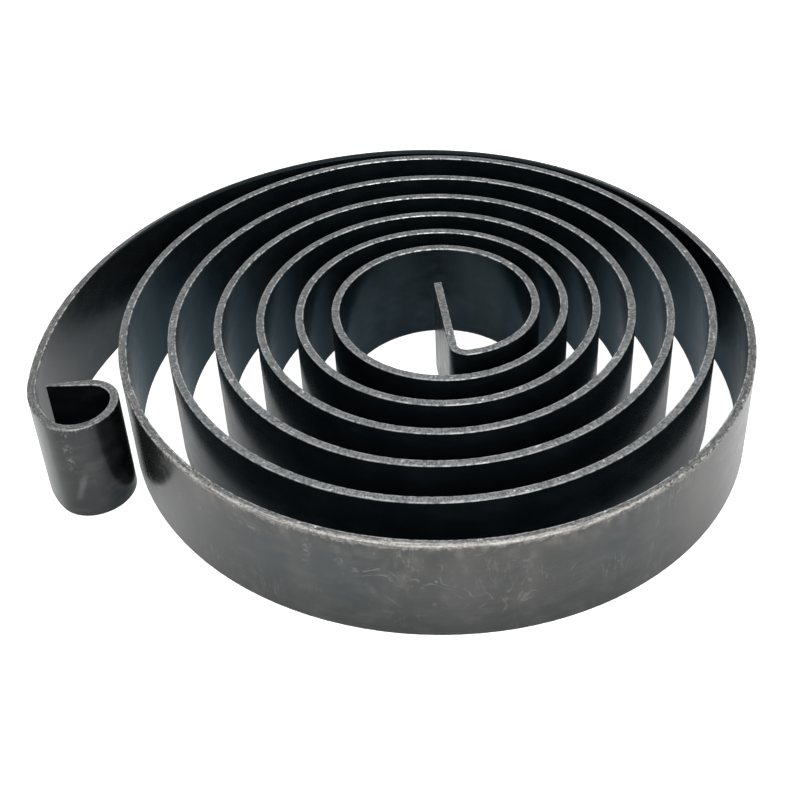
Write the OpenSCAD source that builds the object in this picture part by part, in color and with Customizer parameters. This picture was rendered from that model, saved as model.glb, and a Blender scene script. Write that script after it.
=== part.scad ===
// Flat spiral return spring of a drill press: one strip of blackened spring steel.
// Its inner end is a straight tang for a slotted arbor, its outer end is curled into a hook.
// Millimetres. Origin on the arbor axis, bottom edge of the strip on the XY plane, +Z up.
// Seen from above the strip winds outwards counter-clockwise.

/* [Strip] */
// Width of the strip, along the arbor
strip_w = 12; // [8:0.5:20]
// Thickness of the strip
strip_t = 0.9; // [0.5:0.05:1.4]
// Rounding of the strip's four long edges
edge_r = 0.12; // [0.05:0.01:0.2]

/* [Tang] */
// How far the free end of the tang reaches past the arbor axis
tang_past = 3.95; // [0:0.05:6]
// Distance from the arbor axis to the foot of the tang
tang_drop = 8.75; // [8:0.01:9.5]
// Radius of the bend between tang and coil
bend_r = 1.5; // [1:0.05:2.2]

/* [Coil] */
// Number of regular turns
coil_turns = 5; // [2:1:7]
// Radius of the quarter turn that follows the bend
lead_r = 8.69; // [8:0.01:9.5]
// Straight run between that quarter turn and the regular turns
lead_run = 0.5; // [0.1:0.05:2]
// Radius where the regular turns begin
coil_r = 10.55; // [9.8:0.05:12]
// Growth of the radius per turn, innermost
pitch_in = 3.4; // [2.8:0.01:4.5]
// Growth of the radius per turn, outermost
pitch_out = 4.82; // [4:0.01:6]
// Drift of the turns' centre per turn, to the right
drift_x = -0.31; // [-0.5:0.01:0.2]
// Drift of the turns' centre per turn, to the back
drift_y = -0.1; // [-0.3:0.01:0.3]

/* [Outer turn] */
// Clear gap inside the next to last turn, at the back
gap_back_inner = 4.08; // [3.2:0.02:5]
// Clear gap inside the next to last turn, at the left
gap_left_inner = 4.28; // [3.4:0.02:5.2]
// Clear gap inside the last turn, at the front
gap_front = 4.58; // [3.6:0.02:5.4]
// Clear gap inside the last turn, at the right
gap_right = 2.24; // [1.6:0.02:3]
// Clear gap inside the last turn, at the back
gap_back = 0.8; // [0.5:0.05:1.8]
// Clear gap inside the last turn, at the left, where the hook lies
gap_left = 8.1; // [7.8:0.05:10]

/* [Hook] */
// Radius where the outer turn starts to curl in
hook_lead_r = 10.33; // [9:0.01:11.5]
// Radius of the hook's front left corner
hook_corner_r = 3.37; // [2.6:0.01:3.6]
// Radius of the hook's front right corner
hook_nose_r = 3.85; // [3.2:0.05:4.1]
// Radius of the hook's back right corner
hook_back_r = 2.89; // [2.2:0.01:3.2]
// Gap between the hook's free end and the strip's inner face
hook_gap = 1; // [0.3:0.05:2.5]

/* [Hidden] */
$fn = 128;
// Facets of an edge rounding
edge_fn = 16;
steel = [0.10, 0.105, 0.11];

// Quarter turns of the regular coil
quarters = 4 * coil_turns;
outer_gaps = [gap_back_inner, gap_left_inner, gap_front, gap_right, gap_back, gap_left];
last = quarters + len(outer_gaps);

function micron(v) = round(v * 1000) / 1000;
function along(a) = [cos(a), sin(a)];
function growth(j) = (pitch_in + (pitch_out - pitch_in) * (j - 1) / (quarters - 2)) / 4
    - [drift_x, drift_y] * along(90 * j) / 2;

// Radii of the regular quarter turns
coil_radii = [for (j = 1, r = coil_r; j <= quarters; r = r + growth(j), j = j + 1) micron(r)];
// A quarter turn past the coil has the radius that leaves its stated gap to the turn inside it
function radius(m) = m <= quarters ? coil_radii[m - 1]
    : micron(outer_gaps[m - quarters - 1] + strip_t - radius(m - 1) + radius(m - 2) + radius(m - 3));

// Bend, first quarter turn, regular turns, outer turn
radii = concat([bend_r, lead_r], [for (m = [1 : last]) radius(m)]);
function start_angle(i) = 180 + 90 * i;
function run_before(i) = i == 2 ? [0, lead_run] : [0, 0];
centres = [for (i = 0, c = [bend_r, bend_r - tang_drop]; i < len(radii); i = i + 1,
    c = i < len(radii) ? c + (radii[i - 1] - radii[i]) * along(start_angle(i)) + run_before(i) : c) c];

// The hook's own frame starts at the end of the outer turn: X outwards, Y onwards
hook_turn = 90 * last;
hook_start = centres[len(radii) - 1] + radii[len(radii) - 1] * along(hook_turn);
// The lead ends at a 3-4-5 direction
split = [0.8, 0.6];
split_angle = atan2(split[1], split[0]);
function snap(v) = round(v * 200) / 200;
lead_radius = snap(hook_lead_r);
corner_radius = snap(hook_corner_r);
lead_c = [-lead_radius, 0];
corner_c = lead_c + (lead_radius - corner_radius) * split;
nose_c = corner_c + [0, corner_radius - hook_nose_r];
back_c = nose_c + [hook_back_r - hook_nose_r, 0];
wall_y = back_c[1] - hook_back_r;
face_x = lead_c[0] + sqrt(pow(lead_radius - strip_t / 2, 2) - pow(wall_y + strip_t / 2, 2));
wall_run = micron(face_x - hook_gap - back_c[0]);
cut = 2 * hook_lead_r;

module section() {
    translate([edge_r - strip_t / 2, 0]) square([strip_t - 2 * edge_r, strip_w]);
    translate([-strip_t / 2, edge_r]) square([strip_t, strip_w - 2 * edge_r]);
    for (x = [edge_r - strip_t / 2, strip_t / 2 - edge_r])
        for (z = [edge_r, strip_w - edge_r])
            translate([x, z]) circle(edge_r, $fn = edge_fn);
}

module quarter(c, r, a) {
    translate(c) rotate([0, 0, a]) rotate_extrude(angle = 90) translate([r, 0]) section();
}

// A straight piece of strip that ends at a point, having run along -Y turned by the angle
module run(from, length, a) {
    translate(from) rotate([0, 0, a]) rotate([90, 0, 0]) linear_extrude(length) section();
}

// One side of the plane where the hook's lead passes into its corner
module side(offset_y) {
    translate(lead_c) rotate([0, 0, split_angle])
        translate([-cut, offset_y, -strip_w]) cube([2 * cut, cut, 3 * strip_w]);
}

module hook() {
    translate(hook_start) rotate([0, 0, hook_turn]) {
        intersection() {
            quarter(lead_c, lead_radius, 0);
            side(-cut);
        }
        intersection() {
            quarter(corner_c, corner_radius, 0);
            side(0);
        }
        quarter(nose_c, hook_nose_r, 90);
        quarter(back_c, hook_back_r, 180);
        run([back_c[0], wall_y], wall_run, 90);
    }
}

module spiral_spring() color(steel) {
    run([0, tang_past], tang_past + tang_drop - bend_r, 0);
    for (i = [0 : len(radii) - 1]) quarter(centres[i], radii[i], start_angle(i));
    run(centres[2] + [radii[2], 0], lead_run, 0);
    hook();
}

spiral_spring();
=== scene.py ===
"""Flat spiral return spring: one strip of blackened spring steel on a pale floor."""
import math
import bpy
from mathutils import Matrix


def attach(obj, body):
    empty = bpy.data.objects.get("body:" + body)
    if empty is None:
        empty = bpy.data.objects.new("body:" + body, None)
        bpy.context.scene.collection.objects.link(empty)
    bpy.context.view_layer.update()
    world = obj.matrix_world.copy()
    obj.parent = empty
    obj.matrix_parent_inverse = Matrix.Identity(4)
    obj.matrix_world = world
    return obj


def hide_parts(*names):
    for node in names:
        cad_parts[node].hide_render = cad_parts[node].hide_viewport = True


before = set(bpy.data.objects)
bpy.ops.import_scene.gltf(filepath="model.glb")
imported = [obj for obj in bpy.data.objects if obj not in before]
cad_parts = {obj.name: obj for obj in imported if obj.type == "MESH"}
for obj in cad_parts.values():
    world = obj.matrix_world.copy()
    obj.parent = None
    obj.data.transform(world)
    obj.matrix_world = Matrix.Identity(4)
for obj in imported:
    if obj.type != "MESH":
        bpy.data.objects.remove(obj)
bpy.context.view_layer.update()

from types import SimpleNamespace

import bpy
from mathutils import Matrix, Vector

MM = 0.001

# Strip, millimetres
STRIP_W = 12.0
STRIP_T = 0.9
EDGE_R = 0.12

# Tang
TANG_PAST = 3.95
TANG_DROP = 8.75
BEND_R = 1.5

# Coil
COIL_TURNS = 5
LEAD_R = 8.69
LEAD_RUN = 0.5
COIL_R = 10.55
PITCH_IN = 3.4
PITCH_OUT = 4.82
DRIFT = Vector((-0.31, -0.1))

# Clear gaps inside the last turns: back, left, front, right, back, left
OUTER_GAPS = (4.08, 4.28, 4.58, 2.24, 0.8, 8.1)

# Hook
HOOK_LEAD_R = 10.33
HOOK_CORNER_R = 3.37
HOOK_NOSE_R = 3.85
HOOK_BACK_R = 2.89
HOOK_GAP = 1.0
HOOK_SPLIT = math.degrees(math.atan2(0.6, 0.8))
# The hook's free end thins towards its tip
TIP_TAPER_RUN = 4.5
TIP_TAPER = 0.55

# Facets of an edge rounding, and the angle past which an edge shows as a crease
EDGE_FACETS = 4
CREASE = math.radians(6)

# Moves of the strip up to the regular turns: tang, bend, first quarter turn, short run
MOVES_BEFORE_COIL = 4

# Oxide skin: bare on the handled faces, hidden on the others, its own on the hook; the foot colour,
# the core colour and the hook's far colour are painted shade
BARE_COOL, BARE_WARM = (0.075, 0.083, 0.084, 1), (0.097, 0.097, 0.092, 1)
BARE_BANDS, BARE_FOOT_PAINTED_SHADE = (0.150, 0.150, 0.146, 1), (0.054, 0.058, 0.058, 1)
BARE_INSIDE, BARE_MOTTLE = (0.054, 0.066, 0.073, 1), (0.160, 0.158, 0.150, 1)
HIDDEN_DARK, HIDDEN_PALE = (0.022, 0.036, 0.045, 1), (0.036, 0.052, 0.061, 1)
HIDDEN_CORE_PAINTED_SHADE, HIDDEN_MOTTLE = (0.008, 0.012, 0.014, 1), (0.060, 0.082, 0.095, 1)
HOOK_NEAR, HOOK_FAR_PAINTED_SHADE = (0.053, 0.057, 0.058, 1), (0.012, 0.017, 0.020, 1)
HOOK_INSIDE = (0.022, 0.031, 0.036, 1)
ROLLED_GRAIN = (0.040, 0.046, 0.048, 1)
TANG_STREAKS = (0.270, 0.268, 0.258, 1)

# Wear and sheared edges
SMEARED = (0.300, 0.290, 0.270, 1)
SCUFFED = (0.400, 0.392, 0.374, 1)
WORN_DARK, WORN_PALE = (0.165, 0.160, 0.150, 1), (0.385, 0.371, 0.348, 1)
RUBBED_DARK, RUBBED_PALE = (0.075, 0.081, 0.085, 1), (0.188, 0.194, 0.197, 1)
CUT_DARK, CUT_PALE = (0.058, 0.061, 0.063, 1), (0.170, 0.171, 0.168, 1)
TORN = (0.52, 0.515, 0.50, 1)
UNWORN = (0.007, 0.009, 0.010, 1)
POLISHED = (0.400, 0.402, 0.397, 1)

# How strongly each layer covers what lies under it
# The foot and core layers are painted shade: darker towards the foot and in the innermost turns
COVER = {"bands": 0.35, "foot": 0.60, "painted_core_shade": 0.25, "mottle": 0.22, "grain": 0.12,
         "curls": 0.70, "strokes": 0.55, "drags": 0.70, "smudges": 0.45, "dust": 0.75,
         "smear": 0.27, "scuffs": 0.40, "band": 0.9}
SCUFFS_ON_HOOK, SCUFFS_AT_FOOT = 0.25, 0.5
POLISH_OUTER_SIDE, POLISH_ON_HOOK = 0.55, 0.6

# Where the finish changes along the strip, as a start and an end in millimetres.
# From the free end of the tang
TANG_BRIGHT = (13.0, 10.0)
# Painted shade: the innermost turns are darker, fading out between these lengths
CORE_PAINTED_SHADE = (100, 60)
# From where the last turn comes to lie outermost
OUTERMOST_STARTS = (-4, 4)
OUTERMOST_DULL = (20, 6)
# From the start of the hook
HANDLED_STARTS = (-45, -8)
CURL_STARTS = (-2, 7)
# Painted shade: the hook's far side darkens from here
HOOK_FAR_SHADE_STARTS = (10.5, 13.5)
# From the foremost place of the last turn
WEAR_MIDDLE = -7

# Reflection at a low angle: dull on the hidden inner faces, full elsewhere
DULL_GLOSS, FULL_GLOSS = (0.55, 0.63, 0.67, 1), (1, 1, 1, 1)
DULL_SHARE = 0.5
METAL_SHARE = 0.88
SKIN_ROUGH, WORN_ROUGHER = (0.18, 0.25), 0.20
RELIEF_DEPTH = 0.02 * MM

# Clouds: waves per millimetre along, through and across the strip, seed, detail and distortion
CLOUDS = {
    "patches": ((0.05, 0.6, 0.12), 3.1, 2.0, 0.0),
    "mottle": ((0.5, 2.0, 0.8), 8.7, 4.0, 0.0),
    "grain": ((0.12, 3.0, 5.0), 21.3, 3.0, 0.0),
    "bands": ((0.20, 0.5, 0.02), 57.9, 2.0, 0.0),
    "tang_streaks": ((1.1, 0.5, 0.06), 64.3, 3.0, 0.0),
    "breaks": ((0.9, 1.0, 0.9), 44.4, 3.0, 0.0),
    "crumbs": ((2.4, 1.0, 1.6), 31.7, 2.0, 0.0),
    "curls": ((0.27, 1.0, 0.31), 5.5, 1.5, 1.0),
    "curl_places": ((0.11, 1.0, 0.18), 40.2, 1.0, 0.0),
    "strokes": ((1.15, 1.0, 0.17), 12.4, 2.0, 0.4),
    "stroke_places": ((0.20, 1.0, 0.21), 61.8, 1.0, 0.0),
    "drags": ((0.09, 1.0, 0.85), 33.9, 1.0, 0.4),
    "drag_places": ((0.12, 1.0, 0.30), 77.1, 1.0, 0.0),
    "flecks": ((2.0, 1.0, 1.5), 18.6, 2.0, 0.0),
    "fleck_places": ((0.18, 1.0, 0.22), 90.5, 1.0, 0.0),
    "smudges": ((0.55, 1.0, 0.30), 83.2, 3.0, 0.0),
    "smudge_places": ((0.10, 1.0, 0.16), 25.6, 1.0, 0.0),
    "dust": ((3.8, 1.0, 3.2), 95.2, 4.0, 0.0),
    "ragged": ((2.0, 0.5, 2.4), 52.3, 5.0, 0.0),
    "grains": ((4.0, 4.5, 4.5), 19.3, 3.0, 0.0),
    "streaks": ((0.28, 5.0, 5.5), 38.1, 3.0, 0.0),
    "smears": ((0.60, 0.5, 0.35), 14.9, 4.0, 0.0),
    "grit": ((6.0, 3.2, 3.2), 66.6, 2.0, 0.0),
    "torn": ((0.9, 2.6, 1.0), 27.2, 3.0, 0.0),
    "cut_lines": ((0.40, 7.0, 7.0), 48.8, 3.0, 0.0),
    "polish": ((1.8, 0.8, 0.5), 71.4, 4.0, 0.0),
}

# Levels of the white floor and surround, to the eye, in reflections and as light
FLOOR_SEEN, FLOOR_MIRRORED = 0.88, 0.22
FLOOR_COLOUR, FLOOR_ROUGH, FLOOR_REACH = (0.8, 0.8, 0.8, 1), 0.9, 2.0
WHITE = (1, 1, 1, 1)
ROOM_SEEN, ROOM_FILL = 1.0, 0.30

# Camera, from the viewing angle of the photograph
FRAME_PX = 800
FOCAL_PX = 1334
AXIS_PX = Vector((430.5, 290.5))
SENSOR = 36.0
CAMERA_AT = Vector((-14.98, -115.90, 100.10)) * MM
CAMERA_DOWN = math.radians(36.44)
CAMERA_HEADING = math.radians(-6.73)
CAMERA_ROLL = math.radians(-1.86)
CAMERA_NEAREST = 0.01


def coil_radii():
    """Radii of the regular quarter turns and of the six quarter turns that follow them."""
    quarters = 4 * COIL_TURNS
    radii = [COIL_R]
    for j in range(1, quarters):
        share = (j - 1) / (quarters - 2)
        outward = Vector((math.cos(math.radians(90 * j)), math.sin(math.radians(90 * j))))
        pitch = PITCH_IN + (PITCH_OUT - PITCH_IN) * share
        radii.append(radii[-1] + pitch / 4 - DRIFT.dot(outward) / 2)
    for gap in OUTER_GAPS:
        radii.append(gap + STRIP_T - radii[-1] + radii[-2] + radii[-3])
    return radii


def hook_wall_run():
    """Length of the hook's straight back wall, which ends a gap short of the strip's own face."""
    split = math.radians(HOOK_SPLIT)
    outwards = Vector((math.cos(split), math.sin(split)))
    corner = Vector((-HOOK_LEAD_R, 0)) + (HOOK_LEAD_R - HOOK_CORNER_R) * outwards
    back_x = corner.x + HOOK_BACK_R - HOOK_NOSE_R
    wall_y = corner.y + HOOK_CORNER_R - HOOK_NOSE_R - HOOK_BACK_R
    face_r = HOOK_LEAD_R - STRIP_T / 2
    face_x = -HOOK_LEAD_R + math.sqrt(face_r ** 2 - (wall_y + STRIP_T / 2) ** 2)
    return face_x - HOOK_GAP - back_x


def strip_moves():
    """The strip from the tang's free end to the hook's, as (length or radius, degrees turned)."""
    moves = [(TANG_PAST + TANG_DROP - BEND_R, 0), (BEND_R, 90), (LEAD_R, 90), (LEAD_RUN, 0)]
    moves += [(radius, 90) for radius in coil_radii()]
    moves += [(HOOK_LEAD_R, HOOK_SPLIT), (HOOK_CORNER_R, 90 - HOOK_SPLIT)]
    moves += [(HOOK_NOSE_R, 90), (HOOK_BACK_R, 90), (hook_wall_run(), 0)]
    return moves


def strip_path():
    """Points of the strip's centre line in plan and the length of strip up to each of them."""
    run_step, turn_step = 1.0, 3.0
    at, heading = Vector((0, TANG_PAST)), -90.0
    points, lengths = [at.copy()], [0.0]
    for size, turn in strip_moves():
        steps = math.ceil(turn / turn_step if turn else size / run_step)
        length = math.radians(turn) * size if turn else size
        start, start_heading, start_length = at.copy(), heading, lengths[-1]
        for i in range(1, steps + 1):
            share = i / steps
            if turn:
                a0 = math.radians(start_heading - 90)
                a1 = math.radians(start_heading - 90 + turn * share)
                across, ahead = math.cos(a1) - math.cos(a0), math.sin(a1) - math.sin(a0)
                at = start + size * Vector((across, ahead))
            else:
                a = math.radians(start_heading)
                at = start + size * share * Vector((math.cos(a), math.sin(a)))
            points.append(at.copy())
            lengths.append(start_length + length * share)
        heading = start_heading + turn
    return points, lengths


def path_mesh():
    """The centre line at half the strip's width, a row of edges that knows its length along it."""
    points, lengths = strip_path()
    mesh = bpy.data.meshes.new("strip_path")
    verts = [(p.x * MM, p.y * MM, STRIP_W / 2 * MM) for p in points]
    mesh.from_pydata(verts, [(i, i + 1) for i in range(len(verts) - 1)], [])
    along = mesh.attributes.new("along", "FLOAT", "POINT")
    along.data.foreach_set("value", [length * MM for length in lengths])
    return mesh


def add(tree, kind, inputs=None, **settings):
    """A node with its properties and inputs set; an input that is linked is given as a socket."""
    node = tree.nodes.new(kind)
    for name, value in settings.items():
        setattr(node, name, value)
    for name, value in (inputs or {}).items():
        if isinstance(value, bpy.types.NodeSocket):
            tree.links.new(value, node.inputs[name])
        else:
            node.inputs[name].default_value = value
    return node


def chain(tree, operation, *values):
    """One math operation applied to all the values in turn."""
    result = values[0]
    for value in values[1:]:
        result = add(tree, "ShaderNodeMath", {0: result, 1: value}, operation=operation).outputs[0]
    return result


def times(tree, *values):
    """The values multiplied."""
    return chain(tree, "MULTIPLY", *values)


def total(tree, *values):
    """The values added up."""
    return chain(tree, "ADD", *values)


def less(tree, *values):
    """The first value less the others."""
    return chain(tree, "SUBTRACT", *values)


def most(tree, *values):
    """The greatest of the values."""
    return chain(tree, "MAXIMUM", *values)


def wound_strip_tree(finish):
    """Sweeps the rounded section along the path and notes each point's place in the flat strip."""
    tree = bpy.data.node_groups.new("wound_strip", "GeometryNodeTree")
    tree.interface.new_socket("Path", in_out="INPUT", socket_type="NodeSocketGeometry")
    for name in ("Strip width", "Strip thickness", "Edge radius",
                 "Taper from", "Taper to", "Taper depth"):
        tree.interface.new_socket(name, in_out="INPUT", socket_type="NodeSocketFloat")
    tree.interface.new_socket("Strip", in_out="OUTPUT", socket_type="NodeSocketGeometry")
    given = add(tree, "NodeGroupInput").outputs
    outline = add(tree, "GeometryNodeCurvePrimitiveQuadrilateral",
                  {"Width": given["Strip thickness"], "Height": given["Strip width"]})
    section = add(tree, "GeometryNodeFilletCurve",
                  {"Curve": outline.outputs[0], "Radius": given["Edge radius"],
                   "Count": EDGE_FACETS}, mode="POLY")
    marked = add(tree, "GeometryNodeStoreNamedAttribute",
                 {"Geometry": section.outputs[0], "Name": "in_section",
                  "Value": add(tree, "GeometryNodeInputPosition").outputs[0]},
                 data_type="FLOAT_VECTOR", domain="POINT")
    line = add(tree, "GeometryNodeMeshToCurve", {"Mesh": given["Path"]})
    upright = add(tree, "GeometryNodeSetCurveNormal", {"Curve": line.outputs[0]}, mode="Z_UP")
    sweep = add(tree, "GeometryNodeCurveToMesh",
                {"Curve": upright.outputs[0], "Profile Curve": marked.outputs[0],
                 "Fill Caps": True})
    along = add(tree, "GeometryNodeInputNamedAttribute", {"Name": "along"}, data_type="FLOAT")
    in_section = add(tree, "GeometryNodeInputNamedAttribute", {"Name": "in_section"},
                     data_type="FLOAT_VECTOR")
    parts = add(tree, "ShaderNodeSeparateXYZ", {"Vector": in_section.outputs[0]})
    flat = add(tree, "ShaderNodeCombineXYZ",
               {"X": along.outputs[0], "Y": parts.outputs["X"], "Z": parts.outputs["Y"]})
    placed = add(tree, "GeometryNodeStoreNamedAttribute",
                 {"Geometry": sweep.outputs[0], "Name": "flat_strip", "Value": flat.outputs[0]},
                 data_type="FLOAT_VECTOR", domain="POINT")
    half_t = times(tree, given["Strip thickness"], 0.5)
    inside = add(tree, "ShaderNodeMapRange",
                 {"Value": parts.outputs["X"], "From Min": half_t,
                  "From Max": times(tree, half_t, -1.0)})
    thinned = add(tree, "ShaderNodeMapRange",
                  {"Value": along.outputs[0], "From Min": given["Taper from"],
                   "From Max": given["Taper to"], "To Max": given["Taper depth"]})
    shift = times(tree, inside.outputs[0], thinned.outputs[0])
    tapered = add(tree, "GeometryNodeSetPosition",
                  {"Geometry": placed.outputs[0],
                   "Offset": add(tree, "ShaderNodeCombineXYZ", {"Y": shift}).outputs[0]})
    smooth = add(tree, "GeometryNodeSetShadeSmooth", {"Geometry": tapered.outputs[0]},
                 domain="FACE")
    corner = add(tree, "FunctionNodeCompare",
                 {"A": add(tree, "GeometryNodeInputMeshEdgeAngle").outputs["Unsigned Angle"],
                  "B": CREASE}, data_type="FLOAT", operation="GREATER_THAN")
    creased = add(tree, "GeometryNodeSetShadeSmooth",
                  {"Geometry": smooth.outputs[0], "Selection": corner.outputs[0],
                   "Shade Smooth": False}, domain="EDGE")
    real = add(tree, "GeometryNodeRealizeInstances", {"Geometry": creased.outputs[0]})
    dressed = add(tree, "GeometryNodeSetMaterial",
                  {"Geometry": real.outputs[0], "Material": finish})
    add(tree, "NodeGroupOutput", {"Strip": dressed.outputs[0]})
    return tree


def wind_strip(finish):
    """The wound strip as one plain mesh object."""
    tree = wound_strip_tree(finish)
    line = bpy.data.objects.new("strip_line", path_mesh())
    bpy.context.collection.objects.link(line)
    modifier = line.modifiers.new("wound_strip", "NODES")
    modifier.node_group = tree
    tip = strip_path()[1][-1]
    sizes = {"Strip width": STRIP_W, "Strip thickness": STRIP_T, "Edge radius": EDGE_R,
             "Taper from": tip - TIP_TAPER_RUN, "Taper to": tip, "Taper depth": TIP_TAPER}
    for item in tree.interface.items_tree:
        if item.name in sizes:
            modifier[item.identifier] = sizes[item.name] * MM
    graph = bpy.context.evaluated_depsgraph_get()
    mesh = bpy.data.meshes.new_from_object(line.evaluated_get(graph), depsgraph=graph)
    mesh.name = "wound_strip"
    bpy.data.objects.remove(line)
    strip = bpy.data.objects.new("wound_strip", mesh)
    bpy.context.collection.objects.link(strip)
    return strip


def smooth_step(tree, value, start, end):
    """0 at start, 1 at end, eased between them."""
    return add(tree, "ShaderNodeMapRange", {"Value": value, "From Min": start, "From Max": end},
               interpolation_type="SMOOTHSTEP").outputs[0]


def ramp(tree, value, start, end, low, high, **settings):
    """One level at start and another at end, even between them unless the settings ease it."""
    return add(tree, "ShaderNodeMapRange", {"Value": value, "From Min": start, "From Max": end,
                                            "To Min": low, "To Max": high}, **settings).outputs[0]


def scaled(tree, value, factor, offset):
    """A value times a factor, plus an offset."""
    return add(tree, "ShaderNodeMath", {0: value, 1: factor, 2: offset},
               operation="MULTIPLY_ADD").outputs[0]


def apart(tree, value, middle):
    """How far a value is from a middle, on either side."""
    off = less(tree, value, middle)
    return add(tree, "ShaderNodeMath", {0: off}, operation="ABSOLUTE").outputs[0]


def cloud(tree, place, stretch, seed, detail, distortion):
    """Noise with its own number of waves per millimetre along, through and across the strip."""
    moved = add(tree, "ShaderNodeVectorMath", {0: place, 1: stretch, 2: (seed, seed, seed)},
                operation="MULTIPLY_ADD")
    return add(tree, "ShaderNodeTexNoise", {"Vector": moved.outputs[0], "Scale": 1.0,
                                            "Detail": detail, "Distortion": distortion}).outputs[0]


def hairline(tree, pattern, width):
    """1 on the thin lines where a cloud passes through its middle value."""
    return smooth_step(tree, apart(tree, pattern, 0.5), width, 0.0)


def tint(tree, share, under, over):
    """One colour laid over another."""
    return add(tree, "ShaderNodeMix", {0: share, 6: under, 7: over}, data_type="RGBA").outputs[2]


def exposed_lengths():
    """Strip lengths up to where the last turn lies outermost, its front, its back and the hook."""
    lengths = [math.radians(turn) * size if turn else size for size, turn in strip_moves()]
    quarters_still_inside = 2
    first_outer = MOVES_BEFORE_COIL + 4 * COIL_TURNS + quarters_still_inside
    return [sum(lengths[:first_outer + quarters]) for quarters in (0, 1, 3, 4)]


def stretch(tree, on, origin, ends):
    """0 before a start and 1 past an end along the strip, both counted from an origin."""
    start, end = ends
    return smooth_step(tree, on.along, origin + start, origin + end)


def strip_places(tree):
    """Where a point lies in the flat strip, in millimetres, and the parts that differ in finish."""
    flat = add(tree, "ShaderNodeAttribute", attribute_name="flat_strip", attribute_type="GEOMETRY")
    place = add(tree, "ShaderNodeVectorMath", {0: flat.outputs["Vector"], "Scale": 1 / MM},
                operation="SCALE").outputs[0]
    parts = add(tree, "ShaderNodeSeparateXYZ", {"Vector": place}).outputs
    on = SimpleNamespace(along=parts["X"], outwards=parts["Y"])
    on.clouds = {name: cloud(tree, place, *settings) for name, settings in CLOUDS.items()}
    # The section's own height runs downwards
    on.rise = times(tree, parts["Z"], -1.0)
    on.height = apart(tree, parts["Z"], 0.0)
    off_middle = apart(tree, on.outwards, 0.0)

    on.half_w, on.half_t = STRIP_W / 2, STRIP_T / 2
    on.sheared = smooth_step(tree, on.height, on.half_w - EDGE_R, on.half_w - 0.3 * EDGE_R)
    near_edge = smooth_step(tree, on.height, on.half_w - 1.6 * EDGE_R, on.half_w - 0.8 * EDGE_R)
    near_face = smooth_step(tree, off_middle, on.half_t - 1.5 * EDGE_R, on.half_t - 0.8 * EDGE_R)
    on.corner = times(tree, near_edge, near_face)
    on.upper = smooth_step(tree, on.rise, -1, 1)
    on.inner_side = smooth_step(tree, on.outwards, 0.1, -0.1)
    on.outer_side = less(tree, 1.0, on.inner_side)

    on.exposed_from, on.foremost, on.backmost, on.hook_from = exposed_lengths()
    on.last_turn = stretch(tree, on, on.exposed_from, OUTERMOST_STARTS)
    outer_face = smooth_step(tree, on.outwards, 0.2 * on.half_t, 0.9 * on.half_t)
    on.outermost = times(tree, outer_face, on.last_turn)
    on.handled = most(tree, on.outermost, stretch(tree, on, on.hook_from, HANDLED_STARTS))
    on.curled = stretch(tree, on, on.hook_from, CURL_STARTS)
    on.tang_end = stretch(tree, on, 0, TANG_BRIGHT)
    return on


def patch(tree, on, name, start, end):
    """The part of a cloud that stands over its threshold."""
    return smooth_step(tree, on.clouds[name], start, end)


def oxide_skin(tree, on):
    """Slow patches, bands, painted shade towards the foot and in the core, painted shade on the
    hook's far side, fine mottling, rolled grain, a streaked tang.
    """
    bare = tint(tree, patch(tree, on, "patches", 0.30, 0.70), BARE_COOL, BARE_WARM)
    pale_bands = times(tree, patch(tree, on, "bands", 0.45, 0.75), COVER["bands"])
    bare = tint(tree, pale_bands, bare, BARE_BANDS)
    # Painted shade: the bare skin darkens towards the foot of the strip
    bare = tint(tree, ramp(tree, on.rise, 0, -on.half_w, 0, COVER["foot"]), bare, BARE_FOOT_PAINTED_SHADE)
    hidden = tint(tree, patch(tree, on, "bands", 0.40, 0.70), HIDDEN_DARK, HIDDEN_PALE)
    # Painted shade: the hidden skin is darker in the innermost turns
    painted_core_shade = times(tree, stretch(tree, on, 0, CORE_PAINTED_SHADE), COVER["painted_core_shade"])
    hidden = tint(tree, painted_core_shade, hidden, HIDDEN_CORE_PAINTED_SHADE)
    skin = tint(tree, on.handled, hidden, tint(tree, on.inner_side, bare, BARE_INSIDE))
    # Painted shade: the hook's far side is darker
    far_side_shade = stretch(tree, on, on.hook_from, HOOK_FAR_SHADE_STARTS)
    hook = tint(tree, on.inner_side, tint(tree, far_side_shade, HOOK_NEAR, HOOK_FAR_PAINTED_SHADE), HOOK_INSIDE)
    skin = tint(tree, on.curled, skin, hook)
    mottled = times(tree, patch(tree, on, "mottle", 0.40, 0.75), COVER["mottle"])
    skin = tint(tree, mottled, skin, tint(tree, on.handled, HIDDEN_MOTTLE, BARE_MOTTLE))
    rolled = times(tree, patch(tree, on, "grain", 0.45, 0.70), COVER["grain"])
    skin = tint(tree, rolled, skin, ROLLED_GRAIN)
    tang_streaks = patch(tree, on, "tang_streaks", 0.30, 0.66)
    streaked = times(tree, on.tang_end, on.outer_side, tang_streaks)
    return tint(tree, streaked, skin, TANG_STREAKS)


def rub(tree, on, at, lean, half_wide, low, high, pattern):
    """A mark across the strip at one length, from a low to a high place, with soft ends."""
    soft = 0.8
    off = apart(tree, on.along, scaled(tree, on.rise, lean, at))
    return times(tree, smooth_step(tree, off, half_wide, 0.1 * half_wide), pattern,
                 smooth_step(tree, on.rise, low - soft, low + soft),
                 smooth_step(tree, on.rise, high + soft, high - soft))


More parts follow.
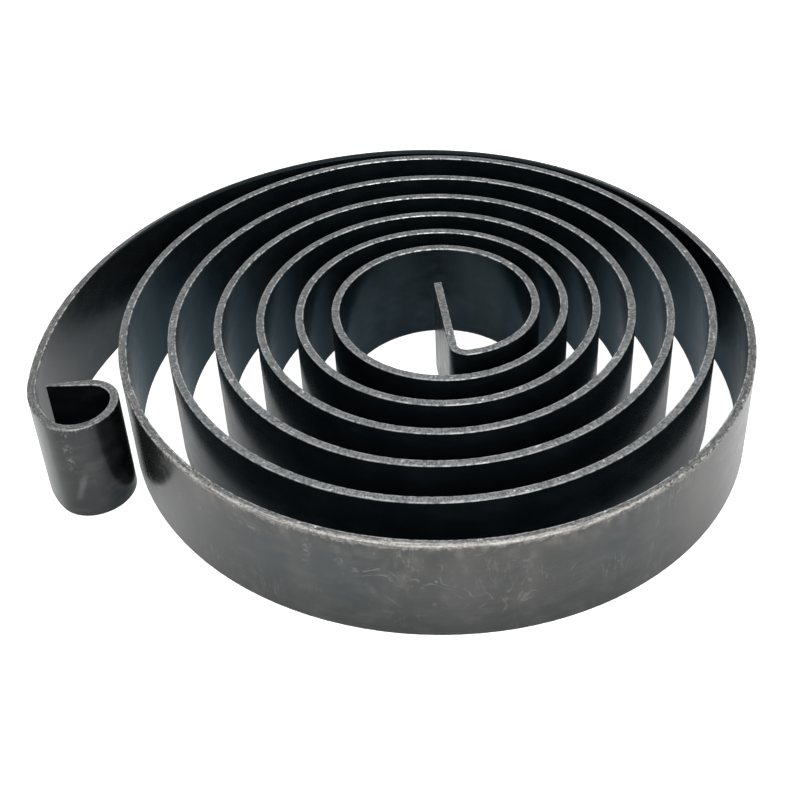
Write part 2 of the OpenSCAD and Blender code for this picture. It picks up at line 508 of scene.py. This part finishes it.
def scuff_marks(tree, on):
    """Marks strewn over the outermost face, and the clear ones in their places."""
    breaks = patch(tree, on, "breaks", 0.38, 0.58)
    crumbs = patch(tree, on, "crumbs", 0.36, 0.60)
    curls = times(tree, hairline(tree, on.clouds["curls"], 0.024),
                  patch(tree, on, "curl_places", 0.50, 0.64), breaks, COVER["curls"])
    strokes = times(tree, hairline(tree, on.clouds["strokes"], 0.045),
                    patch(tree, on, "stroke_places", 0.56, 0.74), crumbs, COVER["strokes"])
    drags = times(tree, hairline(tree, on.clouds["drags"], 0.022),
                  patch(tree, on, "drag_places", 0.62, 0.76), breaks, COVER["drags"])
    flecks = times(tree, patch(tree, on, "flecks", 0.66, 0.80),
                   patch(tree, on, "fleck_places", 0.46, 0.64))
    smudges = times(tree, patch(tree, on, "smudges", 0.56, 0.80),
                    patch(tree, on, "smudge_places", 0.46, 0.62), COVER["smudges"])
    strewn = times(tree, most(tree, curls, strokes, drags, flecks, smudges),
                   ramp(tree, on.curled, 0, 1, 1.0, SCUFFS_ON_HOOK))

    dust = times(tree, patch(tree, on, "dust", 0.46, 0.66), COVER["dust"])
    hook_specks = rub(tree, on, at=on.hook_from + 8.9, lean=0.0, half_wide=0.62,
                      low=0.5, high=7.0, pattern=dust)
    hook_streak = rub(tree, on, at=on.hook_from + 9.95, lean=0.31, half_wide=0.50,
                      low=-3.4, high=-0.4, pattern=COVER["strokes"])
    left_specks = rub(tree, on, at=on.foremost - 18.0, lean=0.1, half_wide=0.60,
                      low=1.5, high=5.0, pattern=dust)
    right_specks = rub(tree, on, at=on.foremost + 16.0, lean=0.0, half_wide=0.45,
                       low=1.5, high=4.5, pattern=dust)
    marks = most(tree, strewn, hook_specks, hook_streak, left_specks, right_specks)
    return times(tree, marks, on.outermost, ramp(tree, on.rise, -4, 2, SCUFFS_AT_FOOT, 1.0))


def front_wear(tree, on):
    """A ragged band about the upper corner, its colour, and smears under it, most at the front."""
    ragged, grains = on.clouds["ragged"], on.clouds["grains"]
    off_front = apart(tree, on.along, on.foremost + WEAR_MIDDLE)
    spread = ramp(tree, off_front, 8, 40, 1.0, 0.05, interpolation_type="SMOOTHSTEP")
    over_rim = scaled(tree, ragged, -0.5, ramp(tree, off_front, 4, 30, 0.20, 0.42))
    over_corner = times(tree, on.last_turn, on.upper,
                        smooth_step(tree, less(tree, on.outwards, over_rim), -0.08, 0.08))
    reach = scaled(tree, ragged, 1.5, on.half_w - 1.05)
    broken = smooth_step(tree, total(tree, grains, times(tree, spread, 0.42)), 0.58, 0.76)
    above_reach = smooth_step(tree, less(tree, on.height, reach), -0.34, 0.34)
    band = times(tree, above_reach, over_corner, broken)
    patchy = total(tree, times(tree, on.clouds["streaks"], 0.55), times(tree, grains, 0.45))
    band_colour = tint(tree, smooth_step(tree, patchy, 0.38, 0.60), WORN_DARK, WORN_PALE)
    smear = times(tree, patch(tree, on, "smears", 0.46, 0.70),
                  smooth_step(tree, on.height, on.half_w - 3.4, on.half_w - 0.4),
                  times(tree, on.outermost, on.upper, ramp(tree, off_front, 20, 58, 1.0, 0.10)))
    return band, band_colour, smear


def sheared_edges(tree, on):
    """Granular edges with torn specks, dark about the back, and the polish of their corners."""
    rubbed = tint(tree, patch(tree, on, "grit", 0.34, 0.66), RUBBED_DARK, RUBBED_PALE)
    rough_cut = total(tree, times(tree, on.clouds["cut_lines"], 0.4),
                      times(tree, on.clouds["grains"], 0.6))
    cut = tint(tree, smooth_step(tree, rough_cut, 0.37, 0.64), CUT_DARK, CUT_PALE)
    edge = tint(tree, on.last_turn, rubbed, cut)
    specks = times(tree, patch(tree, on, "torn", 0.60, 0.72), patch(tree, on, "grit", 0.40, 0.60))
    edge = tint(tree, specks, edge, TORN)
    past_face = 1.25 * on.half_t
    covered_to = ramp(tree, apart(tree, on.along, on.backmost), 6, 52, past_face, -past_face)
    covered = smooth_step(tree, less(tree, on.outwards, covered_to), 0.08, -0.08)
    edge = tint(tree, covered, edge, UNWORN)
    polish = times(tree, patch(tree, on, "polish", 0.40, 0.58), less(tree, 1.0, covered),
                   ramp(tree, on.inner_side, 0, 1, POLISH_OUTER_SIDE, 1.0),
                   ramp(tree, on.curled, 0, 1, 1.0, POLISH_ON_HOOK))
    return edge, polish


def blackened_steel():
    """Black oxide on rolled strip, scuffed outside, with paler sheared edges and bright corners."""
    finish = bpy.data.materials.new("blackened_steel")
    finish.use_nodes = True
    tree = finish.node_tree
    shader = tree.nodes["Principled BSDF"]
    on = strip_places(tree)
    scuffs = scuff_marks(tree, on)
    band, band_colour, smear = front_wear(tree, on)
    edge, polish = sheared_edges(tree, on)

    colour = tint(tree, times(tree, smear, COVER["smear"]), oxide_skin(tree, on), SMEARED)
    colour = tint(tree, times(tree, scuffs, COVER["scuffs"]), colour, SCUFFED)
    colour = tint(tree, on.sheared, colour, edge)
    colour = tint(tree, times(tree, on.corner, polish), colour, POLISHED)
    colour = tint(tree, times(tree, band, COVER["band"]), colour, band_colour)

    worn = most(tree, times(tree, scuffs, 0.6), times(tree, smear, 0.4), band, on.sheared)
    rough = total(tree, ramp(tree, on.clouds["mottle"], 0.3, 0.7, *SKIN_ROUGH),
                  times(tree, worn, WORN_ROUGHER))

    relief = total(tree, times(tree, on.clouds["grit"], on.sheared),
                   times(tree, on.clouds["grain"], 0.05), times(tree, scuffs, 0.10),
                   times(tree, band, on.clouds["ragged"], 0.40))
    bump = add(tree, "ShaderNodeBump",
               {"Height": relief, "Strength": 1.0, "Distance": RELIEF_DEPTH})

    dull_start = times(tree, on.outermost, DULL_SHARE,
                       stretch(tree, on, on.exposed_from, OUTERMOST_DULL))
    glossy = less(tree, most(tree, on.handled, on.tang_end, on.outer_side), dull_start)
    shader.inputs["Metallic"].default_value = METAL_SHARE
    tree.links.new(tint(tree, glossy, DULL_GLOSS, FULL_GLOSS), shader.inputs["Specular Tint"])
    tree.links.new(colour, shader.inputs["Base Color"])
    tree.links.new(rough, shader.inputs["Roughness"])
    tree.links.new(bump.outputs[0], shader.inputs["Normal"])
    return finish


def viewing_rays(tree, direct, mirrored):
    """One level for the camera's rays, one for reflections, and 0 for the light on things."""
    path = add(tree, "ShaderNodeLightPath")
    bounced = most(tree, path.outputs["Is Glossy Ray"], path.outputs["Is Transmission Ray"])
    return most(tree, times(tree, path.outputs["Is Camera Ray"], direct),
                times(tree, bounced, mirrored))


def white_room():
    """A white surround, bright to the eye and plain as light."""
    world = bpy.data.worlds.new("white_room")
    bpy.context.scene.world = world
    world.use_nodes = True
    tree = world.node_tree
    level = most(tree, viewing_rays(tree, ROOM_SEEN, ROOM_SEEN), ROOM_FILL)
    background = tree.nodes["Background"]
    background.inputs["Color"].default_value = WHITE
    tree.links.new(level, background.inputs["Strength"])


def pale_floor():
    """A large white table top that keeps the spring's shadow."""
    mesh = bpy.data.meshes.new("floor")
    corners = (-1, -1), (1, -1), (1, 1), (-1, 1)
    verts = [(x * FLOOR_REACH, y * FLOOR_REACH, 0) for x, y in corners]
    mesh.from_pydata(verts, [], [(0, 1, 2, 3)])
    floor = bpy.data.objects.new("floor", mesh)
    bpy.context.collection.objects.link(floor)
    paper = bpy.data.materials.new("white_paper")
    paper.use_nodes = True
    tree = paper.node_tree
    shader = tree.nodes["Principled BSDF"]
    shader.inputs["Base Color"].default_value = FLOOR_COLOUR
    shader.inputs["Roughness"].default_value = FLOOR_ROUGH
    shader.inputs["Specular IOR Level"].default_value = 0.0
    shader.inputs["Emission Color"].default_value = WHITE
    tree.links.new(viewing_rays(tree, FLOOR_SEEN, FLOOR_MIRRORED),
                   shader.inputs["Emission Strength"])
    mesh.materials.append(paper)


def softbox(name, at, aim, size, power):
    """A large square lamp that faces a point."""
    lamp = bpy.data.lights.new(name, "AREA")
    lamp.shape = "SQUARE"
    lamp.size = size
    lamp.energy = power
    holder = bpy.data.objects.new(name, lamp)
    holder.location = at
    holder.rotation_euler = (Vector(aim) - Vector(at)).to_track_quat("-Z", "Y").to_euler()
    bpy.context.collection.objects.link(holder)


def set_camera():
    """The photograph's viewing angle and framing."""
    lens = bpy.data.cameras.new("camera")
    lens.sensor_width = SENSOR
    lens.lens = FOCAL_PX / FRAME_PX * SENSOR
    lens.shift_x = (FRAME_PX / 2 - AXIS_PX.x) / FRAME_PX
    lens.shift_y = (AXIS_PX.y - FRAME_PX / 2) / FRAME_PX
    lens.clip_start = CAMERA_NEAREST
    camera = bpy.data.objects.new("camera", lens)
    heading = Matrix.Rotation(CAMERA_HEADING, 4, "Z")
    tilt = Matrix.Rotation(math.pi / 2 - CAMERA_DOWN, 4, "X")
    roll = Matrix.Rotation(CAMERA_ROLL, 4, "Z")
    camera.matrix_world = Matrix.Translation(CAMERA_AT) @ heading @ tilt @ roll
    bpy.context.collection.objects.link(camera)
    bpy.context.scene.camera = camera


set_camera()
white_room()
pale_floor()
softbox("key_softbox", at=(0.0, 0.10, 0.45), aim=(0, 0, 0), size=0.35, power=1.2)
softbox("front_softbox", at=(0.10, -0.55, 0.32), aim=(0, 0, 0), size=0.40, power=3.5)
bpy.context.scene.view_settings.view_transform = "Standard"

strip = wind_strip(blackened_steel())
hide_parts("spiral_spring")
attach(strip, "root")
